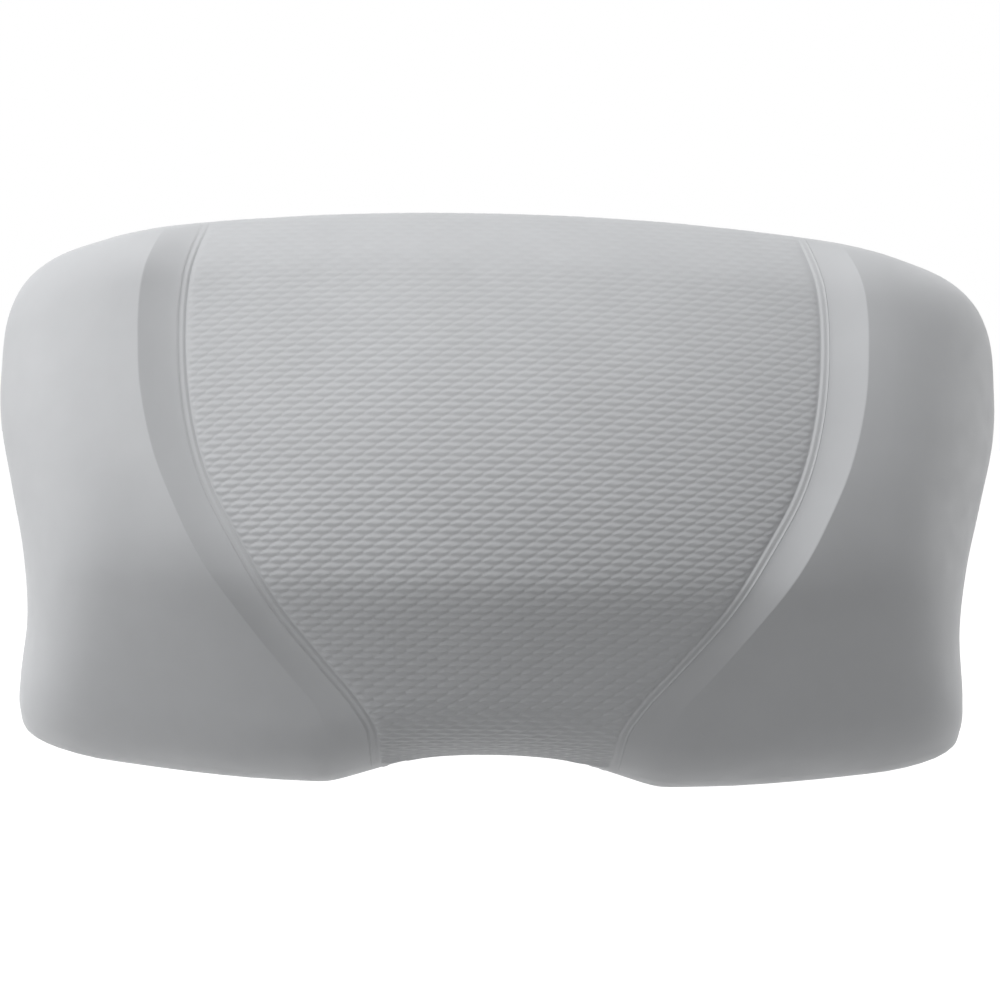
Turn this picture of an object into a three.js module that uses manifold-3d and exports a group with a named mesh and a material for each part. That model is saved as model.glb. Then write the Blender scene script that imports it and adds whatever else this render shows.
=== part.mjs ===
import * as THREE from 'three';
import { mergeVertices } from 'three/addons/utils/BufferGeometryUtils.js';
import Module from 'manifold-3d';

// Bath pillow: a moulded foam headrest that hangs on the tub wall by four suction cups.
// The finished part stands upright: X to the right of someone facing it, Z up, its back on the
// plane Y = 0 and its front towards -Y, with the origin on the back face. Inside the group
// everything is drawn as seen from the front: X right, Y up, Z out of the wall. Millimetres.

// Overall form
const WIDTH = 300;
const HEIGHT = 172;
const THICKNESS = 66;
const CREST_LEVEL = -19; // level of the thickest line, where the neck rests
const TOP_THICKNESS = 7; // front height that the ramp reaches at the top edge
const SIDE_THICKNESS = 28; // front height that the crest falls to at the side edges
const UNDER_FALL = 26.5; // fall of the front from the crest to the bottom edge

// Rolled edges: how far in from the outline each one starts
const TOP_ROLL = 20;
const SIDE_ROLL_LOW = 23; // at the lower corners
const SIDE_ROLL_HIGH = 40; // at the upper corners
const BOTTOM_ROLL = 26;

// Skins, cords, bands and wings
const SKIN_WALL = 2;
const CORD_WIDTH = 2.4;
const CORD_RISE = 0.5;
const STEP_RISE = 5.8; // how far the wing's inner edge stands over the pillow's even curve
const FIT_GAP = 0.3; // gap between neighbouring pieces
const BACK_SKIN_REVEAL = 1.4; // joint between the back skin and the skins rolled round to it

// Suction cups
const CUP_ACROSS = 58; // cup centres from the middle
const UPPER_CUP_LEVEL = 36;
const LOWER_CUP_LEVEL = -30;
const CUP_RADIUS = 21;
const CUP_LIP = 0.8;
const CUP_HOLLOW = 0.8; // height of the hollow under the pressed cup
const CUP_SEAL_WIDTH = 3; // flat ring at the lip
const DISH_POWER = 1.8; // hollow of the dish between its lip and its shoulder
const HUB_RADIUS = 6.5;
const SHOULDER_HEIGHT = 5;
const SLIDE_TRAVEL = 10;

// Studs and nuts
const STUD_RADIUS = 2;
const STUD_HEAD_RADIUS = 4.5;
const STUD_HEAD_THICKNESS = 1.2;
const STUD_SEAT_HEIGHT = 2.2; // underside of the stud's head above the wall
const STUD_TIP = 0.7; // length of stud past the nut
const NUT_FLANGE_RADIUS = 6;
const NUT_FLANGE_THICKNESS = 1.5;
const NUT_BODY_RADIUS = 3.6;
const NUT_BODY_LENGTH = 3.2;

// Mounting plate
const PLATE_BACK = 8; // height of the plate's back face above the wall
const PLATE_THICKNESS = 3;
const PLATE_MARGIN = 3; // plate beyond the collars
const POCKET_CLEARANCE = 2; // room round a cup in its pocket
const COLLAR_WALL = 2;
const COLLAR_SETBACK = 0.5; // collars end this far above the wall
const NUT_ROOM = 0.5; // room round a nut in its box
const NUT_BOX_DEPTH = 7.5;
const NUT_BOX_WALL = 1.5;
const WINDOW_WIDTH = 44; // window that the foam passes through
const WINDOW_HEIGHT = 70;
const WINDOW_CORNER = 10;
const OVERRUN = 1; // cutters pass this far beyond what they cut

// Mesh counts
const PANEL_STEPS = 6;
const CORD_STEPS = 2;
const BAND_STEPS = 4;
const WING_STEPS = 3;
const EDGE_STEPS = 5;
const BOTTOM_STEPS = 6;
const MAIN_ROWS = 10;
const ARC_SEGMENTS = 3;
const CUP_SEGMENTS = 24;
const STUD_SEGMENTS = 16;
const DISH_STEPS = 4;
const MEETING_PASSES = 12;

// Outline points for the right half, as shares of half the width and half the height.
const UPPER_CORNER_SHARES = [0.92, 0.778];
const LOWER_CORNER_SHARES = [0.93, -0.859];
const TOP_EDGE_SHARES = [
  [0, 1], [0.25, 0.991], [0.473, 0.965], [0.673, 0.926], [0.8, 0.872], UPPER_CORNER_SHARES,
  [0.965, 0.652],
];
const SIDE_EDGE_SHARES = [
  [0.82, -0.925], LOWER_CORNER_SHARES, [0.954, -0.77], [0.952, -0.65], [0.938, -0.42],
  [0.947, -0.21], [0.974, 0.017], [0.998, 0.227], [1, 0.4], [0.982, 0.63], UPPER_CORNER_SHARES,
  [0.825, 0.836],
];
const BOTTOM_EDGE_SHARES = [
  [0, -0.89], [0.109, -0.899], [0.18, -0.921], [0.24, -0.953], [0.3, -0.987], [0.33, -0.999],
  [0.37, -1], [0.507, -0.99], [0.707, -0.955], [0.82, -0.925], LOWER_CORNER_SHARES, [0.95, -0.79],
];

// Lines that run from the bottom edge to the top edge, in the same shares.
const CORD_SHARES = [
  [0.234, -1], [0.236, -0.75], [0.266, -0.645], [0.327, -0.512], [0.41, -0.331], [0.485, -0.128],
  [0.55, 0.066], [0.59, 0.265], [0.614, 0.505], [0.618, 0.744], [0.596, 0.937],
];
const STEP_SHARES = [
  [0.3, -1], [0.318, -0.767], [0.341, -0.651], [0.388, -0.547], [0.462, -0.379], [0.547, -0.174],
  [0.608, 0.017], [0.649, 0.174], [0.681, 0.369], [0.694, 0.534], [0.699, 0.674], [0.693, 0.791],
  [0.67, 0.926],
];

// How much of the step there is from level to level.
const STEP_RISE_SHARES = [
  [-1, 0], [-0.85, 0.07], [-0.6, 0.17], [-0.35, 0.48], [-0.1, 0.88], [0.4, 1], [1, 0.93],
];

// Hollowness of the bands, as the power of their rise, at these two levels.
const BAND_POWER_LOW = 1.8;
const BAND_POWER_HIGH = 1.2;
const BAND_POWER_LEVEL_SHARES = [-0.7, 0.2];

// The side roll widens from the lower to the upper corner over this share of the way.
const SIDE_ROLL_GROWTH_SHARE = 0.7;

// Powers of the ramp from crest to top edge and of the rolled edges, and softness of the crest
const RAMP_POWER = 1.6;
const UNDER_EASE = 0.15;
const TOP_POWER = 2.5;
const SIDE_POWER = 2.3;
const BOTTOM_POWER = 2.3;

const HALF_WIDTH = WIDTH / 2;
const HALF_HEIGHT = HEIGHT / 2;
const POCKET_RADIUS = CUP_RADIUS + POCKET_CLEARANCE;
const COLLAR_RADIUS = POCKET_RADIUS + COLLAR_WALL;
const PLATE_FRONT = PLATE_BACK + PLATE_THICKNESS;
const NUT_SEAT = PLATE_FRONT + FIT_GAP;
const STUD_END = NUT_SEAT + NUT_FLANGE_THICKNESS + NUT_BODY_LENGTH + STUD_TIP;

const { lerp, smoothstep } = THREE.MathUtils;

// Smooth curve through points [a, b] with a rising: gives b, and its slope, for any a.
function smoothCurve(points) {
  const last = points.length - 1;
  const slopes = points.map((point, i) => {
    const before = points[Math.max(i - 1, 0)];
    const after = points[Math.min(i + 1, last)];
    return (after[1] - before[1]) / (after[0] - before[0]);
  });
  const locate = (a) => {
    let i = 0;
    while (i < last - 1 && a > points[i + 1][0]) i += 1;
    const span = points[i + 1][0] - points[i][0];
    return [i, span, (a - points[i][0]) / span];
  };
  const at = (a) => {
    const [i, span, u] = locate(a);
    const rest = 1 - u;
    return (
      points[i][1] * (1 + 2 * u) * rest * rest + points[i + 1][1] * (3 - 2 * u) * u * u
      + slopes[i] * span * u * rest * rest - slopes[i + 1] * span * u * u * rest
    );
  };
  const slope = (a) => {
    const [i, span, u] = locate(a);
    return (
      (points[i + 1][1] - points[i][1]) * 6 * u * (1 - u) / span
      + slopes[i] * (1 - u) * (1 - 3 * u) + slopes[i + 1] * u * (3 * u - 2)
    );
  };
  return { at, slope };
}

const inSizes = (shares) => shares.map(([x, y]) => [x * HALF_WIDTH, y * HALF_HEIGHT]);
const swapped = (points) => points.map(([x, y]) => [y, x]);

// An edge across the pillow, mirrored about the middle: y for any x.
function crossEdge(shares) {
  const right = inSizes(shares);
  const left = right.slice(1, 2).map(([x, y]) => [-x, y]);
  return smoothCurve([...left, ...right]).at;
}

const topEdge = crossEdge(TOP_EDGE_SHARES);
const bottomEdge = crossEdge(BOTTOM_EDGE_SHARES);
const sideCurve = smoothCurve(swapped(inSizes(SIDE_EDGE_SHARES)));
const cordCurve = smoothCurve(swapped(inSizes(CORD_SHARES)));
const stepCurve = smoothCurve(swapped(inSizes(STEP_SHARES)));

// A line from the bottom edge to the top edge: its place [x, y] for t from 0 to 1.
function lineUp(xAt) {
  const meet = (edge) => {
    let y = edge(xAt(0));
    for (let pass = 0; pass < MEETING_PASSES; pass += 1) y = edge(xAt(y));
    return y;
  };
  const low = meet(bottomEdge);
  const high = meet(topEdge);
  return (t) => {
    const y = lerp(low, high, t);
    return [xAt(y), y];
  };
}

const slant = (y) => Math.hypot(1, cordCurve.slope(y));
const LINES = {
  middle: lineUp(() => 0),
  cord: lineUp((y) => cordCurve.at(y) - CORD_WIDTH / 2 * slant(y)),
  seamInside: lineUp((y) => cordCurve.at(y) + (CORD_WIDTH - FIT_GAP) / 2 * slant(y)),
  seamOutside: lineUp((y) => cordCurve.at(y) + (CORD_WIDTH + FIT_GAP) / 2 * slant(y)),
  step: lineUp((y) => stepCurve.at(y)),
  side: (t) => {
    const y = HALF_HEIGHT * lerp(LOWER_CORNER_SHARES[1], UPPER_CORNER_SHARES[1], t);
    return [sideCurve.at(y), y];
  },
};

// Height of the step at a level.
const stepRiseCurve = smoothCurve(STEP_RISE_SHARES);
const stepRise = (y) => STEP_RISE * stepRiseCurve.at(y / HALF_HEIGHT);

function bandPower(y) {
  return lerp(BAND_POWER_LOW, BAND_POWER_HIGH, smoothstep(y / HALF_HEIGHT, ...BAND_POWER_LEVEL_SHARES));
}

// Strips of the front between two lines, each with its relief over the even curve.
const STRIPS = {
  panel: { from: LINES.middle, to: LINES.cord, relief: () => 0 },
  cord: {
    from: LINES.cord,
    to: LINES.seamInside,
    relief: (f) => CORD_RISE * Math.sin(Math.PI * f),
  },
  band: {
    from: LINES.seamOutside,
    to: LINES.step,
    relief: (f, y) => stepRise(y) * f ** bandPower(y),
  },
  wing: {
    from: LINES.step,
    to: LINES.side,
    relief: (f, y) => stepRise(y) * (1 - f * f),
    rolledSide: true,
  },
};

// Rise of a rolled edge, from 0 at the outline to 1 where the roll ends.
function roll(distance, width, power) {
  const rest = Math.max(0, 1 - distance / width);
  return (1 - rest ** power) ** (1 / power);
}

// Height of the even curve of the front: a ramp from the crest to the top, crowned across.
function evenFront(x, y) {
  const above = Math.max(0, (y - CREST_LEVEL) / (HALF_HEIGHT - CREST_LEVEL));
  const below = Math.max(0, (CREST_LEVEL - y) / (HALF_HEIGHT + CREST_LEVEL));
  const under = Math.hypot(below, UNDER_EASE) - UNDER_EASE;
  const ramp = (THICKNESS - TOP_THICKNESS) * above ** RAMP_POWER
    + UNDER_FALL * under / (Math.hypot(1, UNDER_EASE) - UNDER_EASE);
  const crown = 1 - (1 - SIDE_THICKNESS / THICKNESS) * (x / HALF_WIDTH) ** 2;
  return (THICKNESS - ramp) * crown;
}

// A point of the front: f across its strip, t up, sunk by a depth under the outer surface.
function frontPoint(strip, f, t, depth) {
  const [fromX, fromY] = strip.from(t);
  const [toX, toY] = strip.to(t);
  const ends = [0, 1].map((end) => {
    const [a, b] = [strip.from(end), strip.to(end)];
    const x = lerp(a[0], b[0], f);
    const edge = end === 0 ? bottomEdge : topEdge;
    return { x, y: edge(x), bulge: edge(x) - lerp(a[1], b[1], f) };
  });
  const x = lerp(fromX, toX, f);
  const y = lerp(fromY, toY, f) + (1 - t) * ends[0].bulge + t * ends[1].bulge;
  let height = evenFront(x, y) + strip.relief(f, y) - depth;
  height *= roll(Math.hypot(x - ends[0].x, y - ends[0].y), BOTTOM_ROLL, BOTTOM_POWER);
  height *= roll(Math.hypot(x - ends[1].x, y - ends[1].y), TOP_ROLL, TOP_POWER);
  if (strip.rolledSide) {
    const width = lerp(SIDE_ROLL_LOW, SIDE_ROLL_HIGH, smoothstep(t, 0, SIDE_ROLL_GROWTH_SHARE));
    height *= roll(Math.hypot(x - toX, y - toY), width, SIDE_POWER);
  }
  return [x * (1 - depth / HALF_WIDTH), y * (1 - depth / HALF_HEIGHT), height];
}

// Even steps from 0 to 1.
const evenSteps = (count) => Array.from({ length: count + 1 }, (none, i) => i / count);

// Steps over a rolled edge, close together at the outline, from 0 to the share that it takes.
const rolledSteps = (count, share) =>
  evenSteps(count).map((u) => share * (1 - Math.cos(u * Math.PI / 2)));

// Rows of the front from the bottom edge to the top edge.
function rowSteps() {
  const low = rolledSteps(BOTTOM_STEPS, BOTTOM_ROLL / HEIGHT);
  const high = rolledSteps(EDGE_STEPS, TOP_ROLL / HEIGHT).map((t) => 1 - t).reverse();
  const main = evenSteps(MAIN_ROWS).slice(1, -1).map((u) => lerp(low.at(-1), high[0], u));
  return [...low, ...main, ...high];
}

// Columns of the right half, from the middle or the seam outwards.
function stripColumns(name, steps) {
  return steps.map((f) => ({ strip: STRIPS[name], f }));
}
const wingEdgeShare = SIDE_ROLL_HIGH / (HALF_WIDTH * (1 - STEP_SHARES.at(-1)[0]));
const wingSteps = [
  ...evenSteps(WING_STEPS).map((u) => u * (1 - wingEdgeShare)),
  ...rolledSteps(EDGE_STEPS, wingEdgeShare).map((f) => 1 - f).reverse().slice(1),
];
const PANEL_COLUMNS = [
  ...stripColumns('panel', evenSteps(PANEL_STEPS)),
  ...stripColumns('cord', evenSteps(CORD_STEPS).slice(1)),
];
const WING_COLUMNS = [
  ...stripColumns('band', evenSteps(BAND_STEPS)),
  ...stripColumns('wing', wingSteps.slice(1)),
];

const onSide = (columns, side) => {
  const sided = columns.map((column) => ({ ...column, side }));
  return side > 0 ? sided : sided.reverse();
};
const acrossBoth = (columns) => [...onSide(columns, -1).slice(0, -1), ...onSide(columns, 1)];
const FRONT_COLUMNS = acrossBoth([
  ...stripColumns('panel', evenSteps(PANEL_STEPS)),
  ...stripColumns('band', evenSteps(BAND_STEPS)),
  ...stripColumns('wing', wingSteps.slice(1)),
]);

function geometryFrom(positions, faces) {
  const geometry = new THREE.BufferGeometry();
  geometry.setAttribute('position', new THREE.Float32BufferAttribute(positions.flat(), 3));
  geometry.setIndex(faces.flat());
  return geometry;
}

// Points and faces of one layer of the front over some columns.
function frontGrid(columns, depth) {
  const rows = rowSteps();
  const points = rows.flatMap((t) => columns.map(({ strip, f, side }) => {
    const [x, y, z] = frontPoint(strip, f, t, depth);
    return [side * x, y, z];
  }));
  const faces = [];
  for (let row = 0; row + 1 < rows.length; row += 1) {
    for (let column = 0; column + 1 < columns.length; column += 1) {
      const a = row * columns.length + column;
      const [b, c, d] = [a + 1, a + 1 + columns.length, a + columns.length];
      const towardsCorner = (columns[column].side > 0) === (rows[row] > 0.5);
      faces.push(...(towardsCorner ? [[a, b, c], [a, c, d]] : [[a, b, d], [b, c, d]]));
    }
  }
  const across = columns.map((none, i) => i);
  const up = rows.map((none, i) => i * columns.length);
  const border = [
    ...across,
    ...up.slice(1).map((i) => i + columns.length - 1),
    ...across.slice(0, -1).reverse().map((i) => i + up.at(-1)),
    ...up.slice(1, -1).reverse(),
  ];
  return { points, faces, border };
}

// A skin: the outer surface, the same surface one wall deeper, and the wall between them.
function skinGeometry(columns) {
  const outer = frontGrid(columns, 0);
  const inner = frontGrid(columns, SKIN_WALL);
  const shift = outer.points.length;
  const faces = [
    ...outer.faces,
    ...inner.faces.map(([a, b, c]) => [a + shift, c + shift, b + shift]),
  ];
  outer.border.forEach((a, i) => {
    const b = outer.border[(i + 1) % outer.border.length];
    faces.push([a, a + shift, b], [b, a + shift, b + shift]);
  });
  return geometryFrom([...outer.points, ...inner.points], faces);
}

// A full form: one layer of the whole front closed by a flat back on the wall plane.
function formGeometry(depth) {
  const { points, faces, border } = frontGrid(FRONT_COLUMNS, depth);
  const ring = border.map((i) => new THREE.Vector2(points[i][0], points[i][1]));
  const back = THREE.ShapeUtils.triangulateShape(ring, []);
  const backFaces = back.map(([a, b, c]) => [border[a], border[c], border[b]]);
  return geometryFrom(points, [...faces, ...backFaces]);
}

// Outline of the pillow drawn in by a depth, as a shape.
function outlineShape(depth) {
  const { points, border } = frontGrid(FRONT_COLUMNS, depth);
  return new THREE.Shape(border.map((i) => new THREE.Vector2(points[i][0], points[i][1])));
}

const wasm = await Module();
wasm.setup();

function solid(geometry) {
  const bare = geometry.clone();
  bare.deleteAttribute('normal');
  bare.deleteAttribute('uv');
  const merged = mergeVertices(bare);
  return new wasm.Manifold(new wasm.Mesh({
    numProp: 3,
    vertProperties: new Float32Array(merged.attributes.position.array),
    triVerts: new Uint32Array(merged.index.array),
  }));
}

function geometryOf(manifold) {
  const mesh = manifold.getMesh();
  const geometry = new THREE.BufferGeometry();
  geometry.setAttribute('position', new THREE.BufferAttribute(mesh.vertProperties, mesh.numProp));
  geometry.setIndex(new THREE.BufferAttribute(mesh.triVerts, 1));
  return geometry;
}

const unite = (solids) => solids.reduce((whole, piece) => whole.add(piece));

// A straight block of an outline between two heights above the wall.
function block(shape, low, high) {
  const options = { depth: high - low, bevelEnabled: false, curveSegments: ARC_SEGMENTS };
  return new THREE.ExtrudeGeometry(shape, options).translate(0, 0, low);
}

// Rounded rectangle about (x, y).
function roundedRectangle(x, y, width, height, radius) {
  const shape = new THREE.Shape();
  const [across, up] = [width / 2 - radius, height / 2 - radius];
  shape.absarc(x + across, y - up, radius, -Math.PI / 2, 0);
  shape.absarc(x + across, y + up, radius, 0, Math.PI / 2);
  shape.absarc(x - across, y + up, radius, Math.PI / 2, Math.PI);
  shape.absarc(x - across, y - up, radius, Math.PI, 1.5 * Math.PI);
  shape.closePath();
  return shape;
}

// Slot outline: the room that a circle takes as it slides down from (x, y).
function slotShape(x, y, radius) {
  const middle = y - SLIDE_TRAVEL / 2;
  return roundedRectangle(x, middle, 2 * radius, 2 * radius + SLIDE_TRAVEL, radius);
}

function circleShape(x, y, radius) {
  const circle = new THREE.EllipseCurve(x, y, radius, radius);
  return new THREE.Shape(circle.getPoints(CUP_SEGMENTS).slice(1));
}

const CUP_ROWS = { upper: UPPER_CUP_LEVEL, lower: LOWER_CUP_LEVEL };
const CUP_SIDES = { left: -1, right: 1 };
const CUPS = Object.entries(CUP_ROWS).flatMap(([row, y]) =>
  Object.entries(CUP_SIDES).map(([column, side]) => ({
    name: `${row}_${column}`, x: side * CUP_ACROSS, y,
  })));

// Outline of the mounting plate, grown by a gap for the hollow that it lies in.
function plateShape(growth) {
  const top = UPPER_CUP_LEVEL + COLLAR_RADIUS + PLATE_MARGIN + growth;
  const bottom = LOWER_CUP_LEVEL - SLIDE_TRAVEL - COLLAR_RADIUS - PLATE_MARGIN - growth;
  const width = 2 * (CUP_ACROSS + COLLAR_RADIUS + PLATE_MARGIN + growth);
  const corner = COLLAR_RADIUS + PLATE_MARGIN + growth;
  const middle = (top + bottom) / 2;
  const shape = roundedRectangle(0, middle, width, top - bottom, corner);
  shape.holes.push(roundedRectangle(
    0, middle, WINDOW_WIDTH - 2 * growth, WINDOW_HEIGHT - 2 * growth, WINDOW_CORNER - growth,
  ));
  return shape;
}

// Plate, collars and nut boxes as full bodies, without the pockets inside them.
function plateBody(growth) {
  const boxRadius = NUT_FLANGE_RADIUS + NUT_ROOM + NUT_BOX_WALL + growth;
  const boxTop = PLATE_FRONT + NUT_BOX_DEPTH + NUT_BOX_WALL + growth;
  return unite([
    solid(block(plateShape(growth), PLATE_BACK - growth, PLATE_FRONT + growth)),
    ...CUPS.flatMap(({ x, y }) => [
      solid(block(slotShape(x, y, COLLAR_RADIUS + growth), COLLAR_SETBACK, PLATE_FRONT)),
      solid(block(slotShape(x, y, boxRadius), PLATE_BACK, boxTop)),
    ]),
  ]);
}

function mountingPlate() {
  const boxRadius = NUT_FLANGE_RADIUS + NUT_ROOM;
  const cutters = CUPS.flatMap(({ x, y }) => [
    solid(block(slotShape(x, y, POCKET_RADIUS), COLLAR_SETBACK - OVERRUN, PLATE_BACK)),
    solid(block(slotShape(x, y, STUD_RADIUS + FIT_GAP), PLATE_BACK - OVERRUN, PLATE_FRONT + OVERRUN)),
    solid(block(
      circleShape(x, y - SLIDE_TRAVEL, NUT_FLANGE_RADIUS + FIT_GAP),
      PLATE_BACK - OVERRUN, PLATE_FRONT + OVERRUN,
    )),
    solid(block(slotShape(x, y, boxRadius), PLATE_FRONT, PLATE_FRONT + NUT_BOX_DEPTH)),
  ]);
  return geometryOf(plateBody(0).subtract(unite(cutters)));
}

function foamCore() {
  const depth = SKIN_WALL + FIT_GAP;
  const backTrim = solid(new THREE.BoxGeometry(WIDTH, HEIGHT, 2 * depth));
  const collarRoom = CUPS.map(({ x, y }) =>
    solid(block(slotShape(x, y, COLLAR_RADIUS + FIT_GAP), 0, PLATE_BACK)));
  return geometryOf(
    solid(formGeometry(depth)).subtract(backTrim).subtract(unite([plateBody(FIT_GAP), ...collarRoom])),
  );
}

function backSkin() {
  const shape = outlineShape(SKIN_WALL + BACK_SKIN_REVEAL);
  shape.holes = CUPS.map(({ x, y }) => slotShape(x, y, COLLAR_RADIUS + FIT_GAP));
  return block(shape, 0, SKIN_WALL);
}

// A turned piece about the line out of the wall, from points [radius, height].
function turned(points, segments) {
  const profile = points.map(([radius, height]) => new THREE.Vector2(radius, height));
  return new THREE.LatheGeometry(profile, segments).rotateX(Math.PI / 2);
}

// Upper face of the dish, a hollow curve from the shoulder of the hub to the lip.
const dishFace = evenSteps(DISH_STEPS).map((u) => [
  lerp(CUP_RADIUS, HUB_RADIUS, u), lerp(CUP_LIP, SHOULDER_HEIGHT, u ** DISH_POWER),
]);

function suctionCup() {
  const hubTop = PLATE_BACK - FIT_GAP;
  const headLow = STUD_SEAT_HEIGHT - FIT_GAP;
  const headHigh = STUD_SEAT_HEIGHT + STUD_HEAD_THICKNESS + FIT_GAP;
  return turned([
    [0, CUP_HOLLOW], [CUP_RADIUS - CUP_SEAL_WIDTH, 0], [CUP_RADIUS, 0], ...dishFace,
    [HUB_RADIUS, hubTop], [STUD_RADIUS + FIT_GAP, hubTop], [STUD_RADIUS + FIT_GAP, headHigh],
    [STUD_HEAD_RADIUS + FIT_GAP, headHigh], [STUD_HEAD_RADIUS + FIT_GAP, headLow], [0, headLow],
  ], CUP_SEGMENTS);
}

function cupStud() {
  const headTop = STUD_SEAT_HEIGHT + STUD_HEAD_THICKNESS;
  return turned([
    [0, STUD_SEAT_HEIGHT], [STUD_HEAD_RADIUS, STUD_SEAT_HEIGHT], [STUD_HEAD_RADIUS, headTop],
    [STUD_RADIUS, headTop], [STUD_RADIUS, STUD_END], [0, STUD_END],
  ], STUD_SEGMENTS);
}

function buttonNut() {
  const flangeTop = NUT_SEAT + NUT_FLANGE_THICKNESS;
  const bodyTop = flangeTop + NUT_BODY_LENGTH;
  const bore = STUD_RADIUS + FIT_GAP;
  return turned([
    [bore, NUT_SEAT], [NUT_FLANGE_RADIUS, NUT_SEAT], [NUT_FLANGE_RADIUS, flangeTop],
    [NUT_BODY_RADIUS, flangeTop], [NUT_BODY_RADIUS, bodyTop], [bore, bodyTop], [bore, NUT_SEAT],
  ], STUD_SEGMENTS);
}

const MATERIALS = {
  texturedSkin: new THREE.MeshStandardMaterial({ color: 0xb9bbbd, roughness: 0.55, metalness: 0 }),
  smoothSkin: new THREE.MeshStandardMaterial({ color: 0xc3c5c7, roughness: 0.5, metalness: 0 }),
  foam: new THREE.MeshStandardMaterial({ color: 0x9a9c9e, roughness: 0.95, metalness: 0 }),
  plate: new THREE.MeshStandardMaterial({ color: 0xe4e4e0, roughness: 0.4, metalness: 0 }),
  cup: new THREE.MeshStandardMaterial({ color: 0xdfe6e8, roughness: 0.15, metalness: 0 }),
  stud: new THREE.MeshStandardMaterial({ color: 0xb8babd, roughness: 0.3, metalness: 1 }),
  nut: new THREE.MeshStandardMaterial({ color: 0xf2f2ee, roughness: 0.45, metalness: 0 }),
};

function piece(name, geometry, material, x = 0, y = 0) {
  const mesh = new THREE.Mesh(geometry, material);
  mesh.name = name;
  mesh.position.set(x, y, 0);
  return mesh;
}

const pillow = new THREE.Group();
pillow.rotation.x = Math.PI / 2;

pillow.add(
  piece('centre_skin', skinGeometry(acrossBoth(PANEL_COLUMNS)), MATERIALS.texturedSkin),
  piece('left_wing_skin', skinGeometry(onSide(WING_COLUMNS, -1)), MATERIALS.smoothSkin),
  piece('right_wing_skin', skinGeometry(onSide(WING_COLUMNS, 1)), MATERIALS.smoothSkin),
  piece('back_skin', backSkin(), MATERIALS.smoothSkin),
  piece('foam_core', foamCore(), MATERIALS.foam),
  piece('mounting_plate', mountingPlate(), MATERIALS.plate),
);

for (const { name, x, y } of CUPS) {
  pillow.add(
    piece(`${name}_suction_cup`, suctionCup(), MATERIALS.cup, x, y),
    piece(`${name}_cup_stud`, cupStud(), MATERIALS.stud, x, y),
    piece(`${name}_button_nut`, buttonNut(), MATERIALS.nut, x, y),
  );
}

export default pillow;
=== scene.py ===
"""Looks of the bath pillow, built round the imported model.

Row frame: X to the right of someone facing the pillow, Z up, the wall on the plane Y = 0 and the
front towards -Y. Shapes are worked out in millimetres as seen from the front: across, up, out.
"""

import math

import bmesh
import bpy
import numpy as np
from mathutils import Matrix, Vector
from mathutils.geometry import tessellate_polygon


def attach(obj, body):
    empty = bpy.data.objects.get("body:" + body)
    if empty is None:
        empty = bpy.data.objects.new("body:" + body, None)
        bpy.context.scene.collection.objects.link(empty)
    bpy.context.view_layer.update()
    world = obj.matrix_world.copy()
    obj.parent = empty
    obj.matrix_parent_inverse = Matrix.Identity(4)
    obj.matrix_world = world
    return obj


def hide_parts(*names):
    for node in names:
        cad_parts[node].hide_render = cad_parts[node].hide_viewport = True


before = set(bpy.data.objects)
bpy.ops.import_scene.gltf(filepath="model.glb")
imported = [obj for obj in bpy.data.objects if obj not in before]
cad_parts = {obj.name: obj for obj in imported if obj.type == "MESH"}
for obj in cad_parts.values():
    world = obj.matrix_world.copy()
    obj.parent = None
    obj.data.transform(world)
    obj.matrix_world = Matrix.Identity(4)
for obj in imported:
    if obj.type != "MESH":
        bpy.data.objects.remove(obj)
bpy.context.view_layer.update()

MM = 0.001

# Overall form, as in the part's source, but with a finer profile and finer seams for the cords
WIDTH, HEIGHT, THICKNESS = 300.0, 172.0, 66.0
CREST_LEVEL = -19.0
TOP_THICKNESS = 7.0
SIDE_THICKNESS = 28.0
UNDER_FALL = 26.5
TOP_ROLL = 20.0
SIDE_ROLL_LOW = 23.0
SIDE_ROLL_HIGH = 40.0
BOTTOM_ROLL = 26.0
TOP_POWER = 2.5
SIDE_POWER = 2.3
BOTTOM_POWER = 2.3
RAMP_POWER = 1.6
UNDER_EASE = 0.15
SKIN_WALL, FIT_GAP, SEAM_GAP, BACK_SKIN_REVEAL = 2.0, 0.3, 0.05, 1.4
CORD_WIDTH, CORD_WAVE, CORD_LIFT, CORD_CLIMB = 2.4, 0.16, 0.25, 0.5
PANEL_FALL, PANEL_FALL_REACH = 0.3, 1.2
STEP_RISE = 5.8
STEP_RISE_SHARES = [
    (-1, 0), (-0.85, 0.07), (-0.6, 0.17), (-0.35, 0.48), (-0.1, 0.88), (0.4, 1), (1, 0.93),
]
BAND_POWER_LOW, BAND_POWER_HIGH = 1.8, 1.2
BAND_POWER_LEVELS = (-0.7, 0.2)
SIDE_ROLL_GROWTH = 0.7
HALF_WIDTH, HALF_HEIGHT = WIDTH / 2, HEIGHT / 2

# Cups, studs, nuts and plate, as in the part's source
CUP_ACROSS, CUP_LEVELS, SLIDE_TRAVEL = 58.0, (36.0, -30.0), 10.0
CUP_RADIUS, CUP_LIP, CUP_HOLLOW, CUP_SEAL_WIDTH = 21.0, 0.8, 0.8, 3.0
HUB_RADIUS, SHOULDER_HEIGHT, DISH_POWER = 6.5, 5.0, 1.8
STUD_RADIUS, STUD_HEAD_RADIUS, STUD_HEAD_THICKNESS, STUD_SEAT = 2.0, 4.5, 1.2, 2.2
NUT_FLANGE_RADIUS, NUT_FLANGE_THICKNESS, NUT_BODY_RADIUS, NUT_BODY_LENGTH = 6.0, 1.5, 3.6, 3.2
STUD_TIP = 0.7
CUP_RIM_BEVEL, CUP_RIM_RISE, HUB_CORNER = 0.3, 0.25, 0.6
HEAD_BEVEL, NECK_FILLET, TIP_BEVEL = 0.2, 0.15, 0.45
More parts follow.
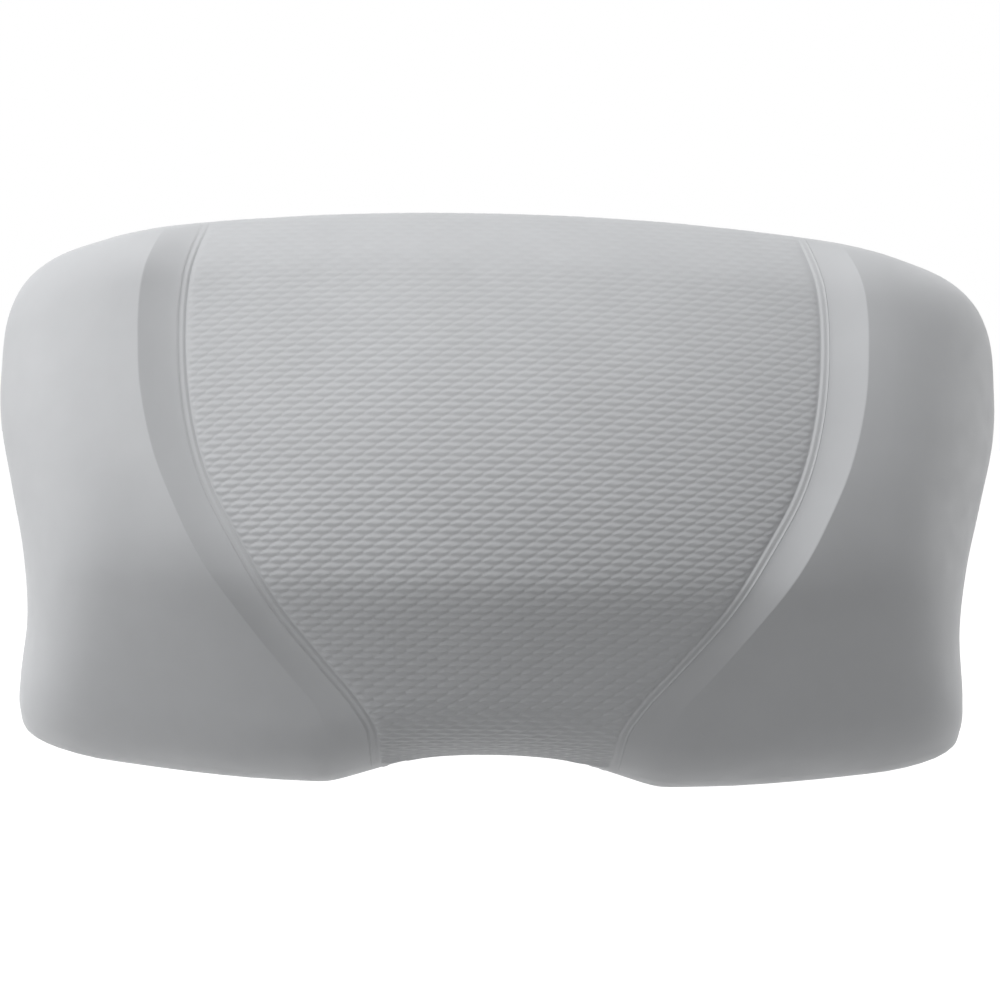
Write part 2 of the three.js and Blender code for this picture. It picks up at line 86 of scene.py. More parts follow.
THREAD_STEP, THREAD_DEPTH, THREAD_END = 0.35, 0.22, 0.5
NUT_CORNER, RIB_COUNT, RIB_DEPTH, RIB_START = 0.3, 12, 0.05, 0.2
PLATE_LAP = 0.4
PLATE_BACK, PLATE_THICKNESS, PLATE_MARGIN = 8.0, 3.0, 3.0
POCKET_RADIUS = CUP_RADIUS + 2.0
COLLAR_RADIUS, COLLAR_SETBACK = POCKET_RADIUS + 2.0, 0.5
NUT_ROOM, NUT_BOX_DEPTH, NUT_BOX_WALL = 0.5, 7.5, 1.5
WINDOW_WIDTH, WINDOW_HEIGHT, WINDOW_CORNER = 44.0, 70.0, 10.0
PLATE_FRONT = PLATE_BACK + PLATE_THICKNESS
NUT_SEAT = PLATE_FRONT + FIT_GAP
STUD_END = NUT_SEAT + NUT_FLANGE_THICKNESS + NUT_BODY_LENGTH + STUD_TIP

# Texture of the centre panel: staggered lens-shaped bumps. Their columns and rows run along curves,
# counted by sums of weight * x**a * y**b with x and y in decimetres.
ROW_PITCH = 3.95
COLUMN_TERMS = {
    (1, 0): 16.944, (3, 0): 0.752, (1, 1): -1.68, (1, 2): 0.288, (3, 1): 2.079, (1, 3): 3.303,
    (3, 2): -3.622,
}
ROW_TERMS = {
    (0, 1): -0.334, (0, 2): -1.738, (0, 3): -3.643, (0, 4): 5.359, (2, 0): 0.673, (2, 1): 0.974,
    (2, 2): -0.445, (4, 0): 0.7, (4, 1): -1.16, (1, 0): -0.132,
}
BUMP_HALF_LENGTH, BUMP_HALF_HEIGHT = 0.456, 0.239
BUMP_TILT, END_SLANT = -0.24, 1.27
BUMP_OUTLINE_POWER, BUMP_END_POWER = 14, 8
TEXTURE_CLEAR = (0.3, 1.0)
TEXTURE_RISE = 0.215
RISE_BY_LEVEL = [
    (-0.9, 0.95), (-0.6, 1.1), (-0.35, 1.25), (-0.15, 1.05), (0, 0.98), (0.2, 0.78), (0.35, 0.72),
    (0.52, 0.56), (0.7, 0.42), (1, 0.3),
]

UPPER_CORNER, LOWER_CORNER = (0.92, 0.778), (0.93, -0.859)
TOP_EDGE = [
    (0, 1), (0.25, 0.991), (0.473, 0.965), (0.673, 0.926), (0.8, 0.872), UPPER_CORNER,
    (0.965, 0.652),
]
SIDE_EDGE = [
    (0.82, -0.925), LOWER_CORNER, (0.954, -0.77), (0.952, -0.65), (0.938, -0.42), (0.947, -0.21),
    (0.974, 0.017), (0.998, 0.227), (1, 0.4), (0.982, 0.63), UPPER_CORNER, (0.825, 0.836),
]
BOTTOM_EDGE = [
    (0, -0.89), (0.109, -0.899), (0.18, -0.921), (0.24, -0.953), (0.3, -0.987), (0.33, -0.999),
    (0.37, -1), (0.507, -0.99), (0.707, -0.955), (0.82, -0.925), LOWER_CORNER, (0.95, -0.79),
]
CORD = [
    (0.234, -1), (0.236, -0.75), (0.266, -0.645), (0.327, -0.512), (0.41, -0.331),
    (0.485, -0.128), (0.55, 0.066), (0.59, 0.265), (0.614, 0.505), (0.618, 0.744),
    (0.596, 0.937),
]
STEP = [
    (0.3, -1), (0.318, -0.767), (0.341, -0.651), (0.388, -0.547), (0.462, -0.379),
    (0.547, -0.174), (0.608, 0.017), (0.649, 0.174), (0.681, 0.369), (0.694, 0.534),
    (0.699, 0.674), (0.693, 0.791), (0.67, 0.926),
]
SIDE_ROLL_SHARE = SIDE_ROLL_HIGH / (HALF_WIDTH * (1 - STEP[-1][0]))

# Rows of each grid in the bottom roll, the middle and the top roll, and columns where they repeat
PANEL_ROWS, PANEL_COLUMNS, CORD_COLUMNS, PANEL_INNER_STEP = (170, 330, 60), 291, 13, 15
WING_ROWS, WING_COLUMNS, WING_INNER_STEP = (50, 90, 16), 40, 4
FOAM_ROWS, OUTLINE_ROWS = (16, 30, 8), (24, 40, 12)
EDGE_STEPS, CORNER_STEPS = 3, 4
SLAB_SHARP_ANGLE, TURNED_SHARP_ANGLE = 40, 50
SLANT_REACH = 0.05
EDGE_TRIES = 12
NEAR_AXIS = 1e-6


def smooth_curve(points):
    """Smooth curve through points (a, b) with a rising: gives b for any a."""
    a, b = (np.array(column, float) for column in zip(*points))
    last = len(a) - 1
    index = np.arange(last + 1)
    before, after = np.maximum(index - 1, 0), np.minimum(index + 1, last)
    slopes = (b[after] - b[before]) / (a[after] - a[before])

    def at(x):
        x = np.asarray(x, float)
        i = np.clip(np.searchsorted(a, x) - 1, 0, last - 1)
        span = a[i + 1] - a[i]
        u = (x - a[i]) / span
        rest = 1 - u
        return (
            b[i] * (1 + 2 * u) * rest**2 + b[i + 1] * (3 - 2 * u) * u**2
            + slopes[i] * span * u * rest**2 - slopes[i + 1] * span * u**2 * rest
        )

    return at


def cross_edge(shares):
    right = [(x * HALF_WIDTH, y * HALF_HEIGHT) for x, y in shares]
    return smooth_curve([(-right[1][0], right[1][1]), *right])


def up_curve(shares):
    return smooth_curve([(y * HALF_HEIGHT, x * HALF_WIDTH) for x, y in shares])


top_edge, bottom_edge = cross_edge(TOP_EDGE), cross_edge(BOTTOM_EDGE)
side_curve, cord_curve, step_curve = up_curve(SIDE_EDGE), up_curve(CORD), up_curve(STEP)


def slant(y):
    """Length along the cord for each length upwards."""
    across = cord_curve(y + SLANT_REACH) - cord_curve(y - SLANT_REACH)
    return np.hypot(1, across / (2 * SLANT_REACH))


def line_up(x_at):
    """A line from the bottom edge to the top edge: its place for t from 0 to 1."""
    ends = []
    for edge in (bottom_edge, top_edge):
        y = edge(x_at(0.0))
        for _ in range(EDGE_TRIES):
            y = edge(x_at(y))
        ends.append(y)
    low, high = ends

    def at(t):
        y = low + (high - low) * t
        return x_at(y), y

    return at


def side_line(t):
    y = HALF_HEIGHT * (LOWER_CORNER[1] + (UPPER_CORNER[1] - LOWER_CORNER[1]) * t)
    return side_curve(y), y


def smoothstep(x, low, high):
    u = np.clip((x - low) / (high - low), 0, 1)
    return u * u * (3 - 2 * u)


step_share = smooth_curve(STEP_RISE_SHARES)


def step_rise(y):
    return STEP_RISE * step_share(y / HALF_HEIGHT)


MIDDLE = line_up(lambda y: 0 * y)
CORD_LINE = line_up(lambda y: cord_curve(y) - CORD_WIDTH / 2 * slant(y))
SEAM_IN = line_up(lambda y: cord_curve(y) + (CORD_WIDTH / 2 - SEAM_GAP) * slant(y))
SEAM_OUT = line_up(lambda y: cord_curve(y) + CORD_WIDTH / 2 * slant(y))
STEP_LINE = line_up(step_curve)


def cord_lift(y):
    """How far a cord's outer side stands over the panel."""
    return CORD_LIFT + CORD_CLIMB * step_share(y / HALF_HEIGHT)


def panel_relief(f, y):
    to_cord = (1 - f) * (cord_curve(y) / slant(y) - CORD_WIDTH / 2)
    return -PANEL_FALL * np.exp(-((to_cord / PANEL_FALL_REACH) ** 2))


def cord_relief(f, y):
    return -PANEL_FALL + (PANEL_FALL + cord_lift(y)) * f + CORD_WAVE * np.sin(2 * np.pi * f)


def band_relief(f, y):
    growth = smoothstep(y / HALF_HEIGHT, *BAND_POWER_LEVELS)
    power = BAND_POWER_LOW + (BAND_POWER_HIGH - BAND_POWER_LOW) * growth
    lift = cord_lift(y)
    return lift + (step_rise(y) - lift) * np.maximum(f, 0) ** power


# Strips of the front: the lines they lie between, their relief and whether the side is rolled.
STRIPS = {
    "panel": (MIDDLE, CORD_LINE, panel_relief, False),
    "cord": (CORD_LINE, SEAM_IN, cord_relief, False),
    "band": (SEAM_OUT, STEP_LINE, band_relief, False),
    "wing": (STEP_LINE, side_line, lambda f, y: step_rise(y) * (1 - f * f), True),
}


def roll(distance, width, power):
    rest = np.maximum(0, 1 - distance / width)
    return (1 - rest**power) ** (1 / power)


def even_front(x, y):
    above = np.maximum(0, (y - CREST_LEVEL) / (HALF_HEIGHT - CREST_LEVEL))
    below = np.maximum(0, (CREST_LEVEL - y) / (HALF_HEIGHT + CREST_LEVEL))
    under = (np.hypot(below, UNDER_EASE) - UNDER_EASE) / (np.hypot(1, UNDER_EASE) - UNDER_EASE)
    ramp = (THICKNESS - TOP_THICKNESS) * above**RAMP_POWER + UNDER_FALL * under
    crown = 1 - (1 - SIDE_THICKNESS / THICKNESS) * (x / HALF_WIDTH) ** 2
    return (THICKNESS - ramp) * crown


def front(strip, f, t, depth=0.0):
    """Points of the front, f across the strip and t up, sunk by a depth: across, up, out."""
    line_a, line_b, relief, rolled = STRIPS[strip]
    (ax, ay), (bx, by) = line_a(t), line_b(t)
    ends = []
    for end, edge in ((0.0, bottom_edge), (1.0, top_edge)):
        a, b = line_a(np.full_like(t, end)), line_b(np.full_like(t, end))
        x = a[0] + (b[0] - a[0]) * f
        ends.append((x, edge(x), edge(x) - (a[1] + (b[1] - a[1]) * f)))
    x = ax + (bx - ax) * f
    y = ay + (by - ay) * f + (1 - t) * ends[0][2] + t * ends[1][2]
    out = even_front(x, y) + relief(f, y) - depth
    out = out * roll(np.hypot(x - ends[0][0], y - ends[0][1]), BOTTOM_ROLL, BOTTOM_POWER)
    out = out * roll(np.hypot(x - ends[1][0], y - ends[1][1]), TOP_ROLL, TOP_POWER)
    if rolled:
        growth = smoothstep(t, 0, SIDE_ROLL_GROWTH)
        width = SIDE_ROLL_LOW + (SIDE_ROLL_HIGH - SIDE_ROLL_LOW) * growth
        out = out * roll(np.hypot(x - bx, y - by), width, SIDE_POWER)
    return np.stack([x * (1 - depth / HALF_WIDTH), y * (1 - depth / HALF_HEIGHT), out], -1)


def rolled_steps(count, share):
    """Steps from 0 to a share, close together at 0."""
    return share * (1 - np.cos(np.linspace(0, math.pi / 2, count + 1)))


def row_steps(bottom, middle, top):
    low = rolled_steps(bottom, BOTTOM_ROLL / HEIGHT)
    high = 1 - rolled_steps(top, TOP_ROLL / HEIGHT)[::-1]
    return np.concatenate([low, np.linspace(low[-1], high[0], middle + 1)[1:-1], high])


def grid(columns, rows, depth=0.0):
    """Points of the right half over columns [(strip, values of f)], rows by columns by 3."""
    t = rows[:, None]
    return np.concatenate([front(name, f[None, :], t, depth) for name, f in columns], axis=1)


def mirrored(points, with_middle=True):
    """The same points on the left, in the order that keeps the faces outwards."""
    left = points[:, ::-1].copy()
    left[..., 0] *= -1
    return left if with_middle else left[:, :-1]


def in_row_frame(points):
    flat = np.asarray(points, float).reshape(-1, 3)
    return np.stack([flat[:, 0], -flat[:, 2], flat[:, 1]], -1) * MM


def new_object(name, vertices, faces, smooth_angle=None):
    mesh = bpy.data.meshes.new(name)
    mesh.from_pydata(in_row_frame(vertices).tolist(), [], faces)
    mesh.validate()
    mesh.shade_smooth()
    if smooth_angle is not None:
        mesh.set_sharp_from_angle(angle=math.radians(smooth_angle))
    piece = bpy.data.objects.new(name, mesh)
    bpy.context.scene.collection.objects.link(piece)
    return piece


def grid_faces(m, n):
    index = np.arange(m * n).reshape(m, n)
    return np.stack(
        [index[:-1, :-1], index[:-1, 1:], index[1:, 1:], index[1:, :-1]], -1
    ).reshape(-1, 4).tolist()


def border_of(m, n):
    index = np.arange(m * n).reshape(m, n)
    return np.concatenate(
        [index[0], index[1:, -1], index[-1, -2::-1], index[-2:0:-1, 0]]
    )


def coarse_faces(m, n, step, shift):
    """Faces over every step-th row and column, with all points kept along the border."""
    index = np.arange(m * n).reshape(m, n) + shift
    rows = [*range(0, m - 1, step), m - 1]
    columns = [*range(0, n - 1, step), n - 1]
    faces = []
    for r0, r1 in zip(rows, rows[1:]):
        for c0, c1 in zip(columns, columns[1:]):
            low = index[0, c0:c1 + 1] if r0 == 0 else index[r0, [c0, c1]]
            high = index[-1, c0:c1 + 1] if r1 == m - 1 else index[r1, [c0, c1]]
            right = index[r0 + 1:r1, -1] if c1 == n - 1 else []
            left = index[r0 + 1:r1, 0] if c0 == 0 else []
            loop = [*low, *right, *high[::-1], *left[::-1]]
            faces.append([int(i) for i in loop[::-1]])
    return faces


def skin(name, outer, inner, step):
    """A skin as one closed body: fine outside, coarse inside, and a wall round the border."""
    m, n = outer.shape[:2]
    faces = grid_faces(m, n) + coarse_faces(m, n, step, m * n)
    border = border_of(m, n)
    after = np.roll(border, -1)
    faces += np.stack([after, border, border + m * n, after + m * n], -1).tolist()
    points = np.concatenate([outer.reshape(-1, 3), inner.reshape(-1, 3)])
    used = np.unique(np.concatenate([np.asarray(face) for face in faces]))
    place = np.full(len(points), -1)
    place[used] = np.arange(len(used))
    return new_object(name, points[used], [place[face].tolist() for face in faces])


def grid_normals(points):
    across, up = np.gradient(points, axis=1), np.gradient(points, axis=0)
    normals = np.cross(across, up)
    return normals / np.maximum(np.linalg.norm(normals, axis=-1, keepdims=True), 1e-9)


def arc_up_middle():
    """Arc length up the middle of the panel, which spaces the rows of the texture."""
    t = np.linspace(0, 1, 2001)
    middle = front("panel", np.zeros(1)[None, :], t[:, None])[:, 0]
    arc = np.concatenate([[0], np.cumsum(np.hypot(np.diff(middle[:, 1]), np.diff(middle[:, 2])))])
    arc -= np.interp(0, middle[:, 1], arc)
    return lambda y: np.interp(y, middle[:, 1], arc)


ARC_AT = arc_up_middle()


def sum_of_terms(terms, x, y):
    return sum(weight * (x / 100) ** a * (y / 100) ** b for (a, b), weight in terms.items())


def texture(x, y):
    """Rise of the panel's texture at a place, from 0 to 1: staggered bumps with slanted ends."""
    u = sum_of_terms(COLUMN_TERMS, x, y)
    v = ARC_AT(y) / ROW_PITCH + sum_of_terms(ROW_TERMS, x, y)
    rise = np.zeros_like(u)
    for shift in (0.0, 0.5):
        dv = (v + shift + 0.5) % 1 - 0.5
        for neighbour in (-1, 0, 1):
            du = (u + shift + 0.5) % 1 - 0.5 + neighbour
            along = np.minimum(np.abs((du - END_SLANT * dv) / BUMP_HALF_LENGTH), 1)
            half_height = BUMP_HALF_HEIGHT * np.maximum(1 - along**BUMP_OUTLINE_POWER, 1e-6)
            across = (dv - BUMP_TILT * du) / half_height
            bump_rise = np.maximum(0, 1 - across**2) * (1 - along**BUMP_END_POWER)
            rise = np.maximum(rise, bump_rise)
    levels, strengths = zip(*RISE_BY_LEVEL)
    return rise * np.interp(y / HALF_HEIGHT, levels, strengths)


def textured_panel():
    rows = row_steps(*PANEL_ROWS)
    half_panel = np.linspace(0, 1, PANEL_COLUMNS)
    cord = np.linspace(0, 1, CORD_COLUMNS)[1:]
    right = grid([("panel", half_panel), ("cord", cord)], rows)
    right_inner = grid([("panel", half_panel), ("cord", cord)], rows, SKIN_WALL)
    outer = np.concatenate([mirrored(right, False), right], axis=1)
    inner = np.concatenate([mirrored(right_inner, False), right_inner], axis=1)
    to_cord = (1 - half_panel)[None, :] * right[:, len(half_panel) - 1, :1]
    on_cord = np.zeros((len(rows), len(cord)))
    clear = np.concatenate([smoothstep(to_cord, *TEXTURE_CLEAR), on_cord], axis=1)
    clear = np.concatenate([clear[:, :0:-1], clear], axis=1)
    rise = texture(outer[..., 0], outer[..., 1]) * clear * TEXTURE_RISE
    outer = outer + grid_normals(outer) * rise[..., None]
    return skin("centre_panel", outer, inner, PANEL_INNER_STEP)


def wing(side):
    rows = row_steps(*WING_ROWS)
    band = np.concatenate([np.linspace(0, 0.1, 9), np.linspace(0.13, 1, 24)])
    across = np.concatenate([
        [0.004, 0.012, 0.025],
        np.linspace(0.04, 1 - SIDE_ROLL_SHARE, WING_COLUMNS),
        (1 - rolled_steps(14, SIDE_ROLL_SHARE))[::-1][1:],
    ])
    outer = grid([("band", band), ("wing", across)], rows)
    inner = grid([("band", band), ("wing", across)], rows, SKIN_WALL)
    if side < 0:
        outer, inner = mirrored(outer), mirrored(inner)
    return skin("left_wing" if side < 0 else "right_wing", outer, inner, WING_INNER_STEP)


# Flat outlines, each a function of how much it is grown
def arc(x, y, radius, start, end, count):
    angles = np.radians(np.linspace(start, end, count))
    return [(x + radius * math.cos(a), y + radius * math.sin(a)) for a in angles]


def rounded_rectangle(x, y, width, height, radius, count=12):
    def outline(growth):
        r = radius + growth
        a, b = width / 2 - radius, height / 2 - radius
        return [
            *arc(x + a, y - b, r, -90, 0, count), *arc(x + a, y + b, r, 0, 90, count),
            *arc(x - a, y + b, r, 90, 180, count), *arc(x - a, y - b, r, 180, 270, count),
        ]

    return outline


def slot_outline(x, y, radius):
    """Room that a circle takes as it slides down from (x, y)."""
    def outline(growth):
        r = radius + growth
        return [*arc(x, y, r, 0, 180, 33), *arc(x, y - SLIDE_TRAVEL, r, 180, 360, 33)]

    return outline


def keyhole(x, y, narrow, wide):
    def outline(growth):
        n, w = narrow + growth, wide + growth
        meet = math.degrees(math.asin(n / w))
        return [
            *arc(x, y, n, 0, 180, 17),
            *arc(x, y - SLIDE_TRAVEL, w, 90 + meet, 450 - meet, 41),
        ]

    return outline


def slab(name, outer, holes, low, high, edge=0.3):
    """A flat piece between two heights with rounded edges, and holes through it."""
    turn = np.linspace(0, math.pi / 2, EDGE_STEPS + 1)
    into, rise = edge * (1 - np.sin(turn)), edge * (1 - np.cos(turn))
    layers = [*zip(low + rise, -into), *zip(high - rise[::-1], -into[::-1])]
    vertices, faces, rings = [], [], []
    for outline, sign in [(outer, 1), *((hole, -1) for hole in holes)]:
        loops = []
        for height, growth in layers:
            points = outline(sign * growth)
            start = len(vertices)
            vertices += [(x, y, height) for x, y in points]
            loops.append(list(range(start, start + len(points))))
        for below, above in zip(loops, loops[1:]):
            for i, a in enumerate(below):
                j = (i + 1) % len(below)
                quad = [a, below[j], above[j], above[i]]
                faces.append(quad if sign > 0 else quad[::-1])
        rings.append(loops)
    for level, flip in ((0, True), (-1, False)):
        flat = [i for loops in rings for i in loops[level]]
        loops = [[Vector(vertices[i]).xy.to_3d() for i in loops[level]] for loops in rings]
        for a, b, c in tessellate_polygon(loops):
            p, q, r = (np.array(vertices[flat[i]][:2]) for i in (a, b, c))
            turned = (q - p)[0] * (r - p)[1] - (q - p)[1] * (r - p)[0] < 0
            face = [flat[a], flat[b], flat[c]]
            faces.append(face[::-1] if turned != flip else face)
    return new_object(name, vertices, faces, SLAB_SHARP_ANGLE)


def combine(target, others, operation):
    """Joins the others to the target, or cuts them out of it, and removes them."""
    for other in others:
        modifier = target.modifiers.new("combine", "BOOLEAN")
        modifier.operation, modifier.solver, modifier.object = operation, "EXACT", other
    bpy.context.view_layer.update()
    evaluated = target.evaluated_get(bpy.context.evaluated_depsgraph_get())
    mesh = bpy.data.meshes.new_from_object(evaluated)
    target.modifiers.clear()
    target.data = mesh
    for other in others:
        bpy.data.objects.remove(other)
    return target


CUPS = [
    (f"{row}_{side}", across, level)
    for row, level in zip(("upper", "lower"), CUP_LEVELS)
    for side, across in (("left", -CUP_ACROSS), ("right", CUP_ACROSS))
]


def plate_outline():
    top = CUP_LEVELS[0] + COLLAR_RADIUS + PLATE_MARGIN
    bottom = CUP_LEVELS[1] - SLIDE_TRAVEL - COLLAR_RADIUS - PLATE_MARGIN
    corner = COLLAR_RADIUS + PLATE_MARGIN
    middle = (top + bottom) / 2
    outer = rounded_rectangle(0, middle, 2 * (CUP_ACROSS + corner), top - bottom, corner, 24)
    window = rounded_rectangle(0, middle, WINDOW_WIDTH, WINDOW_HEIGHT, WINDOW_CORNER)
    return outer, window


def mounting_plate():
    outer, window = plate_outline()
    box = NUT_FLANGE_RADIUS + NUT_ROOM
    keyholes = [
        keyhole(x, y, STUD_RADIUS + FIT_GAP, NUT_FLANGE_RADIUS + FIT_GAP) for _, x, y in CUPS
    ]
    plate = slab("hanger_plate", outer, [window, *keyholes], PLATE_BACK, PLATE_FRONT)
    parts = []
    for name, x, y in CUPS:
        parts += [
            slab(f"{name}_collar", slot_outline(x, y, COLLAR_RADIUS),
                 [slot_outline(x, y, POCKET_RADIUS)], COLLAR_SETBACK, PLATE_BACK + PLATE_LAP),
            slab(f"{name}_box", slot_outline(x, y, box + NUT_BOX_WALL),
                 [slot_outline(x, y, box)],
                 PLATE_FRONT - PLATE_LAP, PLATE_FRONT + NUT_BOX_DEPTH + PLATE_LAP),
            slab(f"{name}_lid", slot_outline(x, y, box + NUT_BOX_WALL), [],
                 PLATE_FRONT + NUT_BOX_DEPTH, PLATE_FRONT + NUT_BOX_DEPTH + NUT_BOX_WALL),
        ]
    return combine(plate, parts, "UNION")


def foam_body():
    depth = SKIN_WALL + FIT_GAP
    rows = row_steps(*FOAM_ROWS)
    across = np.concatenate([
        np.linspace(0, 1 - SIDE_ROLL_SHARE, 12)[1:],
        (1 - rolled_steps(8, SIDE_ROLL_SHARE))[::-1][1:],
    ])
    columns = [
        ("panel", np.linspace(0, 1, 16)), ("band", np.linspace(0, 1, 9)), ("wing", across)
    ]
    right = grid(columns, rows, depth)
    points = np.concatenate([mirrored(right, False), right], axis=1)
    m, n = points.shape[:2]
    faces = grid_faces(m, n)
    faces.append([int(i) for i in border_of(m, n)[::-1]])
    foam = new_object("foam_body", points.reshape(-1, 3), faces)
    form = bmesh.new()
    form.from_mesh(foam.data)
    cut = bmesh.ops.bisect_plane(
        form, geom=[*form.verts, *form.edges, *form.faces], clear_outer=True,
        plane_co=(0, -depth * MM, 0), plane_no=(0, 1, 0),
    )
    edges = [e for e in cut["geom_cut"] if isinstance(e, bmesh.types.BMEdge)]
    bmesh.ops.contextual_create(form, geom=edges)
    bmesh.ops.recalc_face_normals(form, faces=form.faces)
    form.to_mesh(foam.data)
    form.free()
    outer, window = plate_outline()
    box = NUT_FLANGE_RADIUS + NUT_ROOM + NUT_BOX_WALL
    box_top = PLATE_FRONT + NUT_BOX_DEPTH + NUT_BOX_WALL + FIT_GAP
    cutters = [slab(
        "plate_room", lambda g: outer(g + FIT_GAP), [lambda g: window(g - FIT_GAP)],
        PLATE_BACK - FIT_GAP, PLATE_FRONT + FIT_GAP,
    )]
    for name, x, y in CUPS:
        cutters += [
            slab(f"{name}_collar_room", slot_outline(x, y, COLLAR_RADIUS + FIT_GAP), [],
                 0, PLATE_BACK),
            slab(f"{name}_box_room", slot_outline(x, y, box + FIT_GAP), [], PLATE_BACK, box_top),
        ]
    combine(foam, cutters, "DIFFERENCE")
    foam.data.shade_smooth()
    foam.data.set_sharp_from_angle(angle=math.radians(SLAB_SHARP_ANGLE))
    return foam


def outline_of(depth):
    """Outline of the pillow drawn in by a depth, for a slab."""
    rows = row_steps(*OUTLINE_ROWS)
    columns = [
        ("panel", np.linspace(0, 1, 40)), ("band", np.linspace(0, 1, 9)[1:]),
        ("wing", np.concatenate([np.linspace(0, 0.8, 30)[1:], np.linspace(0.8, 1, 12)[1:]])),
    ]

    def outline(growth):
        right = grid(columns, rows, depth - growth)
        points = np.concatenate([mirrored(right, False), right], axis=1)
        ring = points.reshape(-1, 3)[border_of(*points.shape[:2])]
        return [(float(x), float(y)) for x, y, _ in ring]

    return outline


def back_cover():
    holes = [slot_outline(x, y, COLLAR_RADIUS + FIT_GAP) for _, x, y in CUPS]
    return slab("back_cover", outline_of(SKIN_WALL + BACK_SKIN_REVEAL), holes, 0, SKIN_WALL, 0.5)


def rounded_profile(points, radius, steps=CORNER_STEPS):
    """A closed profile of (radius, height) points with its corners rounded."""
    out = []
    count = len(points)
    for i in range(count):
        before, here, after = (np.array(points[(i + k) % count], float) for k in (-1, 0, 1))
        if here[0] < NEAR_AXIS:
            out.append(tuple(here))
            continue
        a, b = before - here, after - here
        reach = min(radius, 0.45 * np.linalg.norm(a), 0.45 * np.linalg.norm(b))
        start, end = here + a / np.linalg.norm(a) * reach, here + b / np.linalg.norm(b) * reach
        for u in np.linspace(0, 1, steps + 1):
            out.append(tuple((1 - u) ** 2 * start + 2 * u * (1 - u) * here + u * u * end))
    return out


def lathe(name, x, y, profile, segments, closed_ring=False, ripple=None):
    """A turned piece about the line out of the wall through (x, y)."""
    angles = np.linspace(0, 2 * math.pi, segments, endpoint=False)
    vertices, rings = [], []
    for r, h in profile:
        start = len(vertices)
        if r < NEAR_AXIS:
            vertices.append((x, y, h))
            rings.append([start] * segments)
            continue
        for a in angles:
            rr = r * (ripple(r, h, a) if ripple else 1)
            vertices.append((x + rr * math.cos(a), y + rr * math.sin(a), h))
        rings.append(list(range(start, start + segments)))
    pairs = list(zip(rings, rings[1:]))
    if closed_ring:
        pairs.append((rings[-1], rings[0]))
    faces = []
    for below, above in pairs:
        for i in range(segments):
            j = (i + 1) % segments
            loop = list(dict.fromkeys([below[i], below[j], above[j], above[i]]))
            if len(loop) > 2:
                faces.append(loop)
    return new_object(name, vertices, faces, TURNED_SHARP_ANGLE)


def suction_cup(name, x, y):
    hub_top = PLATE_BACK - FIT_GAP
    low, high = STUD_SEAT - FIT_GAP, STUD_SEAT + STUD_HEAD_THICKNESS + FIT_GAP
    hollow_radius = CUP_RADIUS - CUP_SEAL_WIDTH
    under = [
        (r, CUP_HOLLOW * (1 - (r / hollow_radius) ** 2)) for r in np.linspace(0, hollow_radius, 12)
    ]
    dish = [
        (CUP_RADIUS + (HUB_RADIUS - CUP_RADIUS) * u,
         CUP_LIP + (SHOULDER_HEIGHT - CUP_LIP) * u**DISH_POWER)
        for u in np.linspace(0, 1, 15)
    ]
    hub = rounded_profile([
        (HUB_RADIUS, SHOULDER_HEIGHT), (HUB_RADIUS, hub_top), (STUD_RADIUS + FIT_GAP, hub_top),
        (STUD_RADIUS + FIT_GAP, high),
    ], HUB_CORNER)[CORNER_STEPS + 1:]
    profile = [
        *under, (CUP_RADIUS - CUP_RIM_BEVEL, 0), (CUP_RADIUS, CUP_RIM_RISE), *dish, *hub,
        (STUD_HEAD_RADIUS + FIT_GAP, high), (STUD_HEAD_RADIUS + FIT_GAP, low), (0, low),
    ]
    return lathe(name, x, y, profile, 72)


def cup_stud(name, x, y):
    head_top = STUD_SEAT + STUD_HEAD_THICKNESS
    thread = [
        (STUD_RADIUS - (THREAD_DEPTH if i % 2 else 0), h)
        for i, h in enumerate(np.arange(PLATE_FRONT, STUD_END - THREAD_END, THREAD_STEP))
    ]
    profile = [
        (0, STUD_SEAT), (STUD_HEAD_RADIUS - HEAD_BEVEL, STUD_SEAT),
        (STUD_HEAD_RADIUS, STUD_SEAT + HEAD_BEVEL), (STUD_HEAD_RADIUS, head_top - HEAD_BEVEL),
        (STUD_HEAD_RADIUS - HEAD_BEVEL, head_top), (STUD_RADIUS + NECK_FILLET, head_top),
        (STUD_RADIUS, head_top + NECK_FILLET), *thread,
        (STUD_RADIUS - TIP_BEVEL, STUD_END), (0, STUD_END),
    ]
    return lathe(name, x, y, profile, 40)


def button_nut(name, x, y):
    flange_top = NUT_SEAT + NUT_FLANGE_THICKNESS
    body_top = flange_top + NUT_BODY_LENGTH
    bore = STUD_RADIUS + FIT_GAP
    profile = rounded_profile([
        (bore, NUT_SEAT), (NUT_FLANGE_RADIUS, NUT_SEAT), (NUT_FLANGE_RADIUS, flange_top),
        (NUT_BODY_RADIUS, flange_top), (NUT_BODY_RADIUS, body_top), (bore, body_top),
    ], NUT_CORNER, 3)

    def ribs(r, h, a):
        on_body = h > flange_top + NUT_CORNER and r > NUT_BODY_RADIUS - RIB_START
        return 1 - (RIB_DEPTH * (0.5 + 0.5 * math.cos(RIB_COUNT * a)) ** 2 if on_body else 0)

    return lathe(name, x, y, profile, 96, True, ribs)


# Materials
def nodes_of(name):
    material = bpy.data.materials.new(name)
    material.use_nodes = True
    tree = material.node_tree
    shader = tree.nodes["Principled BSDF"]
    place = tree.nodes.new("ShaderNodeTexCoord").outputs["Object"]
    return material, tree, shader, place


def noise(tree, place, scale, detail=4.0, roughness=0.55):
    node = tree.nodes.new("ShaderNodeTexNoise")
    node.inputs["Scale"].default_value = scale
    node.inputs["Detail"].default_value = detail
    node.inputs["Roughness"].default_value = roughness
    tree.links.new(place, node.inputs["Vector"])
    return node.outputs["Fac"]


